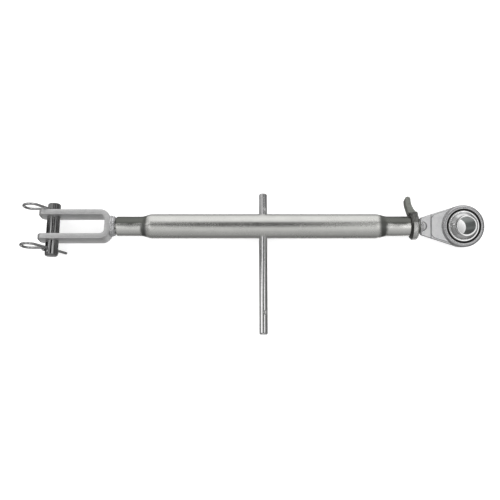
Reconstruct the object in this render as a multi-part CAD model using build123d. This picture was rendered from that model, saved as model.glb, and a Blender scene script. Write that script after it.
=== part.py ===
from build123d import *
import os

# Turnbuckle link: a U fork with a hitch pin at one end, a ball eye at the other, and between them a
# tube with a left-hand and a right-hand thread that a sliding tommy bar turns. Millimetres.
# Frame: origin at the ball's centre, +X from the fork to the ball, the hitch pin and the tommy bar
# along Y, +Z up from the surface that the link lies on. The link is drawn fully closed.

# Overall
TUBE_LENGTH = 433.0
TUBE_RADIUS = 18.0
TUBE_END_X = -77.3  # the eye side's end of the tube
SLIDE_GAP = 0.3  # between faces that meet but turn on each other
THREAD_GAP = 0.06  # radial, screw in tube and nut
PIN_GAP = 0.08  # radial, round bars in drilled holes

# Tube
FORK_NECK_RADIUS = 14.35
FORK_NECK_LENGTH = 37.0
FORK_SHOULDER = 16.0
EYE_NECK_RADIUS = 14.6
EYE_NECK_LENGTH = 33.0
EYE_SHOULDER = 18.0
TUBE_WALL = 5.0
NECK_CHAMFER = 1.6
THREADED_LENGTH = 60.0

# Screws
SCREW_RADIUS = 10.0
SCREW_TIP_GAP = 4.0  # from a screw's tip to the tommy bar's hole
SCREW_CHAMFER = 2.0

# Tommy bar
BAR_RADIUS = 6.0
BAR_ABOVE = 50.0
BAR_BELOW = 161.0
BAR_CHAMFER = 1.6
STAKE_RADIUS = 3.2
STAKE_PLAY = 2.8  # from the upper stakes to the tube
STAKE_BELOW = 130.0
STAKE_PROUD = 1.4
STAKE_ANGLE = 57.0  # the stakes' line above the X axis

# Fork
ARM_THICKNESS = 8.0
ARM_WIDTH = 30.0
JAW_GAP = 28.5
BEND_INNER_RADIUS = 6.5
PIN_TO_BACK = 86.0  # pin axis to the outer face of the bend
ARM_PAST_PIN = 20.0
ARM_CORNER = 9.0
WELD_LENGTH = 7.4
FORK_WELD_RADIUS = 16.0
FORK_WELD_CROWN = 15.0  # radius halfway along the bead
FORK_WELD_TOE = 2.0  # height of the bead on the screw

# Hitch pin and its clips
PIN_RADIUS = 9.5
PIN_OUT_SHORT = 12.0  # past the arm on the +Y side
PIN_OUT_LONG = 23.0  # past the arm on the -Y side
PIN_CHAMFER = 1.4
LONG_HOLE_INSET = 10.5  # cross hole from the -Y end of the pin
WIRE_RADIUS = 2.0
CLIP_ANGLE = 57.0  # straight leg from the X axis, seen along Y
CLIP_TIP = 30.0
COIL_RADIUS = 12.0
COIL_REACH = 32.0
NECK_OFFSET = 6.0
NECK_REACH = 13.0
CREST_HALF = 5.9
FLARE = 10.0  # the wavy leg's end past its outer neck
CLIP_BEND = 3.0
LOOP_SWEEP = 240.0

# Ball
BALL_RADIUS = 23.0
BALL_WIDTH = 51.0
COLLAR_RADIUS = 15.25
BORE_RADIUS = 12.7
BORE_CHAMFER = 0.4
COLLAR_CHAMFER = 0.3

# Eye
EYE_TURN = 14.0  # the eye's turn about X against the fork
EYE_RADIUS = 31.0
EYE_THICKNESS = 22.0
EYE_ROUND = 3.5
BALL_GAP = 0.08
RING_SEAT = 5.0  # half the width of the plain seat between the rings
RING_RADIUS = 24.0
RING_PROUD = 0.3
RING_CHAMFER = 1.6
WEB_THICKNESS = 11.0
WEB_START = -61.0
WEB_HALF_ANGLE = 18.0
WEB_ROUND = 1.2
PANEL_THICKNESS = 14.0
PANEL_START = -47.0
PANEL_MARGIN = 5.5  # inside the web's edge at the panel's start
PANEL_RIM = 1.8  # inside it past the corners
PANEL_CORNER = 4.0
SHANK_RADIUS = 8.3
SHANK_START = -63.0
SHANK_END = -52.0
EYE_WELD_LENGTH = 2.6
EYE_WELD_RADIUS = 12.0
EYE_WELD_TOE = 0.6

# Lock nut
NUT_WIDTH = 10.5
NUT_RADIUS = 20.0
NUT_CHAMFER = 2.4
LEVER_WIDTH = 15.0
LEVER_TIP_Y = 44.5
LEVER_TIP_LEAN = 5.5  # the tip's middle past the nut's tube-side face
LEVER_TIP_RADIUS = 4.2
LEVER_ROOT_Y = 17.0
LEVER_WELD_HEIGHT = 3.0
LEVER_WELD_INSET = 2.4  # from the nut's faces
LEVER_BOW_Y = 29.0  # where the lever's sides are most curved
LEVER_BOW_NEAR = 1.8  # its tube side there, past the tip's
LEVER_BOW_FAR = 10.0  # its eye side there, past the tip's tube side
LEVER_FOOT = 2.0  # tube side of the foot, past the nut's face
LEVER_HEEL = 9.3  # eye side of the foot, past the nut's face
LEVER_SINK = 1.0  # the heel's depth in the nut's rim

# Worked out
TUBE_START_X = TUBE_END_X - TUBE_LENGTH
TUBE_MIDDLE_X = TUBE_END_X - TUBE_LENGTH / 2
NECK_BORE = SCREW_RADIUS + THREAD_GAP
BAR_HOLE = BAR_RADIUS + PIN_GAP
STAKE_ABOVE = TUBE_RADIUS + STAKE_RADIUS + STAKE_PLAY
PIN_HOLE = PIN_RADIUS + PIN_GAP
ARM_OUTER_Y = JAW_GAP / 2 + ARM_THICKNESS
BACK_X = TUBE_START_X - SLIDE_GAP - WELD_LENGTH
PIN_X = BACK_X - PIN_TO_BACK
SCREW_FORK_TIP = TUBE_MIDDLE_X - BAR_HOLE - SCREW_TIP_GAP
SCREW_EYE_TIP = TUBE_MIDDLE_X + BAR_HOLE + SCREW_TIP_GAP
NUT_START = TUBE_END_X + SLIDE_GAP
SHORT_HOLE_Y = ARM_OUTER_Y + SLIDE_GAP + WIRE_RADIUS
LONG_HOLE_Y = -ARM_OUTER_Y - PIN_OUT_LONG + LONG_HOLE_INSET
TURNED = Rot(EYE_TURN, 0, 0)


def along_x(radius, start, end):
    """A round bar on the X axis from start to end."""
    return Pos((start + end) / 2, 0, 0) * Rot(0, 90, 0) * Cylinder(radius, end - start)


def along_y(radius, start, end, x=0.0):
    """A round bar parallel to Y from start to end."""
    return Pos(x, (start + end) / 2, 0) * Rot(-90, 0, 0) * Cylinder(radius, end - start)


def turned_about_x(points):
    """A solid turned about the X axis from an outline of (x, radius) points."""
    return revolve(make_face(Polyline(*points, close=True)), Axis.X)


def end_edges(part, axis, both=True):
    """The round edges of the faces at the ends of part along axis."""
    faces = part.faces().filter_by(GeomType.PLANE).sort_by(axis)
    return faces[-1].edges() + faces[0].edges() if both else faces[-1].edges()


def body_tube():
    shoulder_fork = TUBE_START_X + FORK_NECK_LENGTH
    shoulder_eye = TUBE_END_X - EYE_NECK_LENGTH
    outer = turned_about_x([
        (TUBE_START_X, 0),
        (TUBE_START_X, FORK_NECK_RADIUS - NECK_CHAMFER),
        (TUBE_START_X + NECK_CHAMFER, FORK_NECK_RADIUS),
        (shoulder_fork, FORK_NECK_RADIUS),
        (shoulder_fork + FORK_SHOULDER, TUBE_RADIUS),
        (shoulder_eye - EYE_SHOULDER, TUBE_RADIUS),
        (shoulder_eye, EYE_NECK_RADIUS),
        (TUBE_END_X, EYE_NECK_RADIUS),
        (TUBE_END_X, 0),
    ])
    hollow_start = TUBE_START_X + THREADED_LENGTH
    hollow_end = TUBE_END_X - THREADED_LENGTH
    hollow_radius = TUBE_RADIUS - TUBE_WALL
    cone = hollow_radius - NECK_BORE
    hollow = turned_about_x([
        (TUBE_START_X, 0),
        (TUBE_START_X, NECK_BORE),
        (hollow_start, NECK_BORE),
        (hollow_start + cone, hollow_radius),
        (hollow_end - cone, hollow_radius),
        (hollow_end, NECK_BORE),
        (TUBE_END_X, NECK_BORE),
        (TUBE_END_X, 0),
    ])
    cross_hole = along_y(BAR_HOLE, -2 * TUBE_RADIUS, 2 * TUBE_RADIUS, TUBE_MIDDLE_X)
    return outer - hollow - cross_hole


def tommy_bar():
    bar = along_y(BAR_RADIUS, -BAR_BELOW, BAR_ABOVE, TUBE_MIDDLE_X)
    bar = chamfer(end_edges(bar, Axis.Y), BAR_CHAMFER)
    across = BAR_RADIUS + STAKE_PROUD - STAKE_RADIUS
    for y in (STAKE_ABOVE, -STAKE_BELOW):
        for side in (-1, 1):
            stake = Pos(side * across, 0, 0) * Sphere(STAKE_RADIUS)
            bar += Pos(TUBE_MIDDLE_X, y, 0) * Rot(0, -STAKE_ANGLE, 0) * stake
    return bar


def fork_head():
    outer_radius = BEND_INNER_RADIUS + ARM_THICKNESS
    arm_end = PIN_X - ARM_PAST_PIN
    with_bend = Pos((arm_end + BACK_X) / 2, 0, 0) * Box(BACK_X - arm_end, 2 * ARM_OUTER_Y, ARM_WIDTH)
    with_bend = fillet(with_bend.edges().filter_by(Axis.Z).group_by(Axis.X)[-1], outer_radius)
    inner_end = BACK_X - ARM_THICKNESS
    throat = Pos((arm_end + inner_end) / 2, 0, 0) * Box(inner_end - arm_end, JAW_GAP, 2 * ARM_WIDTH)
    throat = fillet(throat.edges().filter_by(Axis.Z).group_by(Axis.X)[-1], BEND_INNER_RADIUS)
    fork = with_bend - throat
    fork = fillet(fork.edges().filter_by(Axis.Y).group_by(Axis.X)[0], ARM_CORNER)
    return fork - along_y(PIN_HOLE, -2 * ARM_OUTER_Y, 2 * ARM_OUTER_Y, PIN_X)


def fork_spindle():
    screw = along_x(SCREW_RADIUS, BACK_X, SCREW_FORK_TIP)
    return chamfer(end_edges(screw, Axis.X, both=False), SCREW_CHAMFER)


def fork_weld(screw):
    end = BACK_X + WELD_LENGTH
    bead = turned_about_x([
        (BACK_X, 0),
        (BACK_X, FORK_WELD_RADIUS),
        (BACK_X + WELD_LENGTH / 2, FORK_WELD_CROWN),
        (end, SCREW_RADIUS + FORK_WELD_TOE),
        (end, 0),
    ])
    return bead - screw


def hitch_pin():
    pin = along_y(PIN_RADIUS, -ARM_OUTER_Y - PIN_OUT_LONG, ARM_OUTER_Y + PIN_OUT_SHORT, PIN_X)
    pin = chamfer(end_edges(pin, Axis.Y), PIN_CHAMFER)
    cross = Rot(0, CLIP_ANGLE, 0) * Rot(0, 90, 0) * Cylinder(WIRE_RADIUS + PIN_GAP, 4 * PIN_RADIUS)
    for y in (SHORT_HOLE_Y, LONG_HOLE_Y):
        pin -= Pos(PIN_X, y, 0) * cross
    return pin


def wire_along(lines):
    """Round wire bent along joined lines."""
    path = Wire([edge for line in lines for edge in line.edges()])
    return sweep(Plane(path @ 0, z_dir=path % 0) * Circle(WIRE_RADIUS), path)


def r_clip(y):
    """A hairpin clip with its straight leg in the cross hole at y and its wavy leg over the pin.

    It is drawn in a plane whose first axis runs to the straight leg's tip.
    """
    flat = Plane((0, 0, 0), x_dir=(1, 0, 0), z_dir=(0, 1, 0))
    crest = PIN_RADIUS + WIRE_RADIUS + 2 * SLIDE_GAP
    leg = Line((CLIP_TIP, 0), (-COIL_REACH, 0))
    loop = CenterArc((-COIL_REACH, COIL_RADIUS), COIL_RADIUS, 270, -LOOP_SWEEP)
    wave = FilletPolyline(
        loop @ 1,
        (-NECK_REACH, NECK_OFFSET),
        (-CREST_HALF, crest),
        (CREST_HALF, crest),
        (NECK_REACH, NECK_OFFSET),
        (NECK_REACH + FLARE, crest),
        radius=CLIP_BEND,
    )
    clip = wire_along([leg, loop, wave])
    return Pos(PIN_X, y, 0) * Rot(0, CLIP_ANGLE, 0) * (flat.location * clip)


def pivot_ball():
    half = BALL_WIDTH / 2
    ball = Sphere(BALL_RADIUS)
    collars = Cylinder(COLLAR_RADIUS, BALL_WIDTH)
    collars = chamfer(end_edges(collars, Axis.Z), COLLAR_CHAMFER)
    bore = Cylinder(BORE_RADIUS, BALL_WIDTH)
    mouth = Cone(BORE_RADIUS + BORE_CHAMFER, BORE_RADIUS, BORE_CHAMFER)
    for turn in (0, 180):
        bore += Rot(turn, 0, 0) * Pos(0, 0, -half + BORE_CHAMFER / 2) * mouth
    return TURNED * (ball + collars - bore)


def ball_ring(side):
    """The swaged ring that keeps the ball in the eye, on the side of the eye that side names."""
    top = EYE_THICKNESS / 2 + RING_PROUD
    ring = Pos(0, 0, (RING_SEAT + top) / 2) * Cylinder(RING_RADIUS, top - RING_SEAT)
    ring = chamfer(end_edges(ring, Axis.Z, both=False), RING_CHAMFER)
    ring -= Sphere(BALL_RADIUS + BALL_GAP)
    return TURNED * (Rot(90 - 90 * side, 0, 0) * ring)


def web_half_width(x):
    """Half the web's width at x: its edges are tangent to the eye."""
    slope = Axis.X.direction.rotate(Axis.Z, WEB_HALF_ANGLE)
    return EYE_RADIUS / slope.X + x * slope.Y / slope.X


def tapered_plate(start, margin, rim, thickness, corner):
    """A plate from start to the eye: margin inside the web's edge at its start, then rim inside it."""
    inner = -EYE_RADIUS / 2
    near = web_half_width(start) - margin
    cut = web_half_width(start + corner) - rim
    far = web_half_width(inner) - rim
    half = [(start, near), (start + corner, cut), (inner, far)]
    points = half + [(x, -y) for x, y in reversed(half)]
    return extrude(make_face(Polyline(*points, close=True)), thickness / 2, both=True)


def eye_forging(shank):
    disc = Cylinder(EYE_RADIUS, EYE_THICKNESS)
    disc = fillet(end_edges(disc, Axis.Z), EYE_ROUND)
    web = tapered_plate(WEB_START, 0, 0, WEB_THICKNESS, PANEL_CORNER)
    web = fillet(web.edges().filter_by(Axis.Z, reverse=True), WEB_ROUND)
    panel = tapered_plate(PANEL_START, PANEL_MARGIN, PANEL_RIM, PANEL_THICKNESS, PANEL_CORNER)
    eye = disc + web + panel
    eye -= Cylinder(BALL_RADIUS + BALL_GAP, 2 * EYE_THICKNESS)
    for side in (-1, 1):
        eye -= Pos(0, 0, side * (RING_SEAT + EYE_THICKNESS / 2)) * Cylinder(RING_RADIUS, EYE_THICKNESS)
    return TURNED * eye - shank


def eye_spindle():
    screw = along_x(SCREW_RADIUS, SCREW_EYE_TIP, SHANK_START)
    screw = chamfer(screw.faces().filter_by(GeomType.PLANE).sort_by(Axis.X)[0].edges(), SCREW_CHAMFER)
    dome = SHANK_END - SHANK_RADIUS
    return screw + along_x(SHANK_RADIUS, SHANK_START, dome) + Pos(dome, 0, 0) * Sphere(SHANK_RADIUS)


def eye_weld(screw, forging):
    end = WEB_START + EYE_WELD_LENGTH
    bead = turned_about_x([
        (WEB_START - EYE_WELD_LENGTH, 0),
        (WEB_START - EYE_WELD_LENGTH, SCREW_RADIUS + EYE_WELD_TOE),
        (WEB_START - EYE_WELD_TOE, EYE_WELD_RADIUS),
        (end, SHANK_RADIUS + EYE_WELD_TOE),
        (end, 0),
    ])
    return bead - screw - forging


def lock_nut():
    nut = along_x(NUT_RADIUS, NUT_START, NUT_START + NUT_WIDTH)
    nut = chamfer(end_edges(nut, Axis.X), NUT_CHAMFER)
    return nut - along_x(NECK_BORE, NUT_START, NUT_START + NUT_WIDTH)


def lock_lever(nut):
    near = NUT_START - LEVER_TIP_LEAN
    far = near + 2 * LEVER_TIP_RADIUS
    cap_y = LEVER_TIP_Y - LEVER_TIP_RADIUS
    foot = (NUT_START + LEVER_FOOT, LEVER_ROOT_Y)
    heel = (NUT_START + LEVER_HEEL, NUT_RADIUS - LEVER_SINK)
    outline = Curve() + [
        ThreePointArc((near, cap_y), (near + LEVER_BOW_NEAR, LEVER_BOW_Y), foot),
        Line(foot, heel),
        ThreePointArc(heel, (near + LEVER_BOW_FAR, LEVER_BOW_Y), (far, cap_y)),
        CenterArc((near + LEVER_TIP_RADIUS, cap_y), LEVER_TIP_RADIUS, 0, 180),
    ]
    lever = extrude(make_face(outline), LEVER_WIDTH / 2, both=True)
    return lever - along_x(NUT_RADIUS, NUT_START, NUT_START + NUT_WIDTH) - nut


def lever_weld(nut, lever):
    """The beads beside the lever's foot, on the nut's rim."""
    start = NUT_START + LEVER_WELD_INSET
    end = NUT_START + NUT_WIDTH - LEVER_WELD_INSET
    shell = along_x(NUT_RADIUS + LEVER_WELD_HEIGHT, start, end)
    shell -= along_x(NUT_RADIUS, NUT_START, NUT_START + NUT_WIDTH)
    width = LEVER_WIDTH + 2 * LEVER_WELD_HEIGHT
    window = Box(NUT_WIDTH, NUT_RADIUS, width)
    return (shell & Pos((start + end) / 2, NUT_RADIUS + LEVER_WELD_HEIGHT, 0) * window) - lever - nut


fork_screw = fork_spindle()
eye_screw = eye_spindle()
forging = eye_forging(eye_screw)
nut = lock_nut()
lever = lock_lever(nut)
parts = {
    "body_tube": body_tube(),
    "tommy_bar": tommy_bar(),
    "fork_head": fork_head(),
    "fork_spindle": fork_screw,
    "fork_weld": fork_weld(fork_screw),
    "hitch_pin": hitch_pin(),
    "short_side_r_clip": r_clip(SHORT_HOLE_Y),
    "long_side_r_clip": r_clip(LONG_HOLE_Y),
    "eye_forging": forging,
    "eye_spindle": eye_screw,
    "eye_weld": eye_weld(eye_screw, forging),
    "upper_ball_ring": ball_ring(1),
    "lower_ball_ring": ball_ring(-1),
    "pivot_ball": pivot_ball(),
    "lock_nut": nut,
    "lock_lever": lever,
    "lever_weld": lever_weld(nut, lever),
}
os.makedirs("parts", exist_ok=True)
for name, part in parts.items():
    export_step(part, f"parts/{name}.step")
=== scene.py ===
"""Turnbuckle link: swaged tube, sliding tommy bar, jam nut with a lever, jaw with a hitch pin, ball eye."""

import math

import bmesh
import bpy
from mathutils import Matrix, Vector


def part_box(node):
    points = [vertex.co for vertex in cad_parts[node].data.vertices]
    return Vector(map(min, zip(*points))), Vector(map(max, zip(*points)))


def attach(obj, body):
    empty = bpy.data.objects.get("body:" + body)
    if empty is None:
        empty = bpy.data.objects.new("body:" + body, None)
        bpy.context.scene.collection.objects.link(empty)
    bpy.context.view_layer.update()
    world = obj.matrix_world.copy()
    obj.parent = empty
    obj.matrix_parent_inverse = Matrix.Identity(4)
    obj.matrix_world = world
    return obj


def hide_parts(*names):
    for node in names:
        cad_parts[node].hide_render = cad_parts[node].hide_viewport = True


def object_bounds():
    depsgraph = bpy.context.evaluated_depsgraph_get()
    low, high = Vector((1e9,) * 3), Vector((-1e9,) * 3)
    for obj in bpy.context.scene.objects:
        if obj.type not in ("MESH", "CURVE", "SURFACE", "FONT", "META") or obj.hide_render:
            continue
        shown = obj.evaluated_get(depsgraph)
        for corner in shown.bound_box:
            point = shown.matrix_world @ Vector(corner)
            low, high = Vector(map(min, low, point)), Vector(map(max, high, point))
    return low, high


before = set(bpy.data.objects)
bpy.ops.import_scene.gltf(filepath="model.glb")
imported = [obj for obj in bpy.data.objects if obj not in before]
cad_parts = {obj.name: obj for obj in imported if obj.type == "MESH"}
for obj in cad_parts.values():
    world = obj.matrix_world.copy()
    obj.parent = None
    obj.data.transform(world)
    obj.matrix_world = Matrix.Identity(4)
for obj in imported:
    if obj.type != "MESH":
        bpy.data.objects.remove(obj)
cad_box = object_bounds()

MM = 0.001
FULL_TURN = 2 * math.pi
X_AXIS = Vector((1, 0, 0))
Y_AXIS = Vector((0, 1, 0))
Z_AXIS = Vector((0, 0, 1))

# Places along the link's axis, from the frame, in millimetres
TUBE_LOW, TUBE_HIGH = (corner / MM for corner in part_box("body_tube"))
FORK_LOW, FORK_HIGH = (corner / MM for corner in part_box("fork_head"))
PIN_LOW, PIN_HIGH = (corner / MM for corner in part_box("hitch_pin"))
BAR_LOW, BAR_HIGH = (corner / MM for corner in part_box("tommy_bar"))
NUT_LOW, NUT_HIGH = (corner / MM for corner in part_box("lock_nut"))
FORK_SCREW_LOW, FORK_SCREW_HIGH = (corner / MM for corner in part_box("fork_spindle"))
EYE_SCREW_LOW, EYE_SCREW_HIGH = (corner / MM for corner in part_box("eye_spindle"))
SHORT_CLIP_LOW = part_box("short_side_r_clip")[0] / MM
LONG_CLIP_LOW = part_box("long_side_r_clip")[0] / MM
TUBE_RADIUS = TUBE_HIGH.z
BAR_X = (BAR_LOW.x + BAR_HIGH.x) / 2
PIN_X = (PIN_LOW.x + PIN_HIGH.x) / 2
PIN_RADIUS = PIN_HIGH.z

# Sizes that a box does not give, in millimetres
FORK_NECK = 14.35
EYE_NECK = 14.6
FORK_NECK_LENGTH = 37.0
EYE_NECK_LENGTH = 33.0
FORK_SHOULDER = 16.0
EYE_SHOULDER = 18.0
TUBE_BORE = 13.0
THREAD_BORE = 10.06
SCREW_RADIUS = 10.0
PITCH = 4.0
THREAD_DEPTH = 2.1
BAR_RADIUS = 6.0
BAR_GAP = 0.12
STAKE_ABOVE = 24.0
STAKE_BELOW = -130.0
STAKE_SIDE = math.radians(57)
BUTTON_RADIUS = 1.7
BUTTON_HEIGHT = 1.3
BUTTON_GROOVE_RADIUS = 2.6
BUTTON_GROOVE_DEPTH = 0.55
BAR_PLAIN_END = 3.0
BAR_RING = 0.6
NUT_CHAMFER = 2.4
BEAD_LUMPS = 7
SPATTER_LUMPS = 16
EYE_RIM = (26.4, 32.0)
RACE_GROOVE = (21.0, 25.6)
SOCKET_RIM = (5.6, 7.4)
LEVER_TIP_Y = 44.5
LEVER_TIP_RADIUS = 4.2
LEVER_LEAN = 6.5
LEVER_HALF = 7.5
JAW_GAP = 28.5
ARM = 8.0
BEND_RADIUS = 6.5
ARM_CORNER = 9.0
WIRE = 2.0
COIL = 12.0
COIL_REACH = 32.0
CLIP_TIP = 30.0
CLIP_ANGLE = math.radians(57)
LOOP_SWEEP = math.radians(240)
CLIP_NECK = 6.0
CLIP_NECK_REACH = 13.0
CLIP_CREST_HALF = 5.9
CLIP_FLARE = 10.0
CLIP_BEND = 3.0
EYE_TWIST = math.radians(14)
EYE_TURN = Matrix.Rotation(EYE_TWIST, 4, "X")
EYE_RADIUS = 31.0
EYE_HALF = 11.0
RING_RADIUS = 24.0
RING_PROUD = 0.3
BALL = 23.0
BALL_HALF = 25.5
COLLAR = 15.25
BORE = 12.7
WEB_HALF = 5.5
PANEL_HALF = 7.0
WEB_START = -61.0
PANEL_START = -47.0
WEB_ANGLE = math.radians(18)
SHANK_RADIUS = 8.3
SHANK_START = -63.0
NUT_RADIUS = 20.0


# ---------------------------------------------------------------- materials

def add(tree, kind, inputs=(), **settings):
    """Adds a node, sets its properties, and sets or links its inputs."""
    made = tree.nodes.new("ShaderNode" + kind)
    for key, value in settings.items():
        setattr(made, key, value)
    for key, value in dict(inputs).items():
        if isinstance(value, bpy.types.NodeSocket):
            tree.links.new(value, made.inputs[key])
        else:
            made.inputs[key].default_value = value
    return made


def math_node(tree, operation, first, second=0.0, clamp=False):
    return add(tree, "Math", {0: first, 1: second}, operation=operation, use_clamp=clamp).outputs[0]


def blend(tree, factor, first, second):
    """Two colours mixed by a factor."""
    return add(tree, "Mix", {"Factor": factor, "A": first, "B": second}, data_type="RGBA").outputs["Result"]


def ramp(tree, value, stops, ease="LINEAR"):
    """A colour ramp of (place, grey or colour) stops."""
    made = add(tree, "ValToRGB", {"Fac": value})
    made.color_ramp.interpolation = ease
    elements = made.color_ramp.elements
    while len(elements) < len(stops):
        elements.new(0.5)
    for element, (place, shade) in zip(elements, stops):
        element.position = place
        element.color = (shade, shade, shade, 1) if isinstance(shade, (int, float)) else (*shade, 1)
    return made.outputs["Color"]


def new_group(name, inputs, outputs):
    """An empty shader node group with named sockets: name to default for inputs."""
    tree = bpy.data.node_groups.new(name, "ShaderNodeTree")
    for key, default in inputs.items():
        kind = "NodeSocketVector" if default is None else "NodeSocketFloat"
        if isinstance(default, tuple):
            kind = "NodeSocketColor"
        socket = tree.interface.new_socket(key, in_out="INPUT", socket_type=kind)
        if default is not None:
            socket.default_value = default
    for key, kind in outputs.items():
        tree.interface.new_socket(key, in_out="OUTPUT", socket_type="NodeSocket" + kind)
    return tree, tree.nodes.new("NodeGroupInput").outputs, tree.nodes.new("NodeGroupOutput").inputs


def plating_group():
    """Zinc plating: cloudy patches of tone over fine spangle."""
    tree, given, out = new_group(
        "zinc plating", {"Vector": None, "Cloud size": 60.0, "Spangle size": 900.0, "Contrast": 0.2},
        {"Tone": "Float", "Roughness shift": "Float", "Height": "Float"})
    cloud = add(tree, "TexNoise", {"Vector": given["Vector"], "Scale": given["Cloud size"],
                                   "Detail": 4.0, "Roughness": 0.6}).outputs["Fac"]
    spangle = add(tree, "TexVoronoi", {"Vector": given["Vector"], "Scale": given["Spangle size"]})
    cell = add(tree, "RGBToBW", {"Color": spangle.outputs["Color"]}).outputs[0]
    grain = add(tree, "TexNoise", {"Vector": given["Vector"], "Scale": given["Spangle size"],
                                   "Detail": 2.0}).outputs["Fac"]
    mixed = math_node(tree, "ADD", math_node(tree, "MULTIPLY", cloud, 1.1),
                      math_node(tree, "MULTIPLY", math_node(tree, "ADD", cell, grain), 0.22))
    centred = math_node(tree, "SUBTRACT", mixed, 0.75)
    tone = math_node(tree, "MULTIPLY", centred, given["Contrast"])
    tree.links.new(math_node(tree, "ADD", tone, 1.0), out["Tone"])
    tree.links.new(math_node(tree, "MULTIPLY", centred, -0.5), out["Roughness shift"])
    tree.links.new(grain, out["Height"])
    return tree


def marks_group():
    """Fine lines left by drawing, turning or grinding, along the stretched vector's long way."""
    tree, given, out = new_group(
        "tool marks", {"Vector": None, "Fineness": 40.0, "Depth": 0.5},
        {"Lines": "Float", "Height": "Float"})
    broad = add(tree, "TexNoise", {"Vector": given["Vector"], "Scale": given["Fineness"],
                                   "Detail": 3.0, "Roughness": 0.7}).outputs["Fac"]
    fine = add(tree, "TexNoise", {"Vector": given["Vector"],
                                  "Scale": math_node(tree, "MULTIPLY", given["Fineness"], 4.0),
                                  "Detail": 2.0}).outputs["Fac"]
    both = math_node(tree, "ADD", math_node(tree, "MULTIPLY", broad, 0.6),
                     math_node(tree, "MULTIPLY", fine, 0.4))
    tree.links.new(both, out["Lines"])
    tree.links.new(math_node(tree, "MULTIPLY", both, given["Depth"]), out["Height"])
    return tree


def wear_and_shade_group():
    """Rubbed edges, and painted shade that darkens the hollows, from how sharply the surface turns."""
    tree, given, out = new_group(
        "edge wear", {"Vector": None, "Edge": 0.5, "Hollow": 0.5, "Break up": 300.0},
        {"Rubbed": "Float", "HollowShade": "Float"})
    turn = add(tree, "NewGeometry").outputs["Pointiness"]
    broken = add(tree, "TexNoise", {"Vector": given["Vector"], "Scale": given["Break up"],
                                    "Detail": 3.0}).outputs["Fac"]
    edge = ramp(tree, turn, [(0.51, 0.0), (0.57, 1.0)])
    # painted shade: concave places, found by how sharply the surface turns, are darkened
    hollow = ramp(tree, turn, [(0.42, 1.0), (0.49, 0.0)])
    rubbed = math_node(tree, "MULTIPLY", math_node(tree, "MULTIPLY", edge, broken), given["Edge"])
    shaded_hollows = math_node(tree, "MULTIPLY", hollow, given["Hollow"])
    tree.links.new(math_node(tree, "MULTIPLY", rubbed, 1.6, clamp=True), out["Rubbed"])
    tree.links.new(shaded_hollows, out["HollowShade"])
    return tree


def grain_group():
    """Shot-blasted or cast skin: rounded pits over a fine tooth."""
    tree, given, out = new_group(
        "blasted grain", {"Vector": None, "Grain size": 1100.0, "Pit depth": 1.0},
        {"Height": "Float", "Speckle": "Float"})
    pits = add(tree, "TexVoronoi", {"Vector": given["Vector"], "Scale": given["Grain size"]},
               feature="SMOOTH_F1").outputs["Distance"]
    tooth = add(tree, "TexNoise", {"Vector": given["Vector"],
                                   "Scale": math_node(tree, "MULTIPLY", given["Grain size"], 1.7),
                                   "Detail": 3.0, "Roughness": 0.65}).outputs["Fac"]
    both = math_node(tree, "ADD", math_node(tree, "MULTIPLY", pits, 0.7),
                     math_node(tree, "MULTIPLY", tooth, 0.6))
    tree.links.new(math_node(tree, "MULTIPLY", both, given["Pit depth"]), out["Height"])
    tree.links.new(tooth, out["Speckle"])
    return tree


PLATING = plating_group()
MARKS = marks_group()
WEAR_AND_SHADE = wear_and_shade_group()
GRAIN = grain_group()


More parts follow.
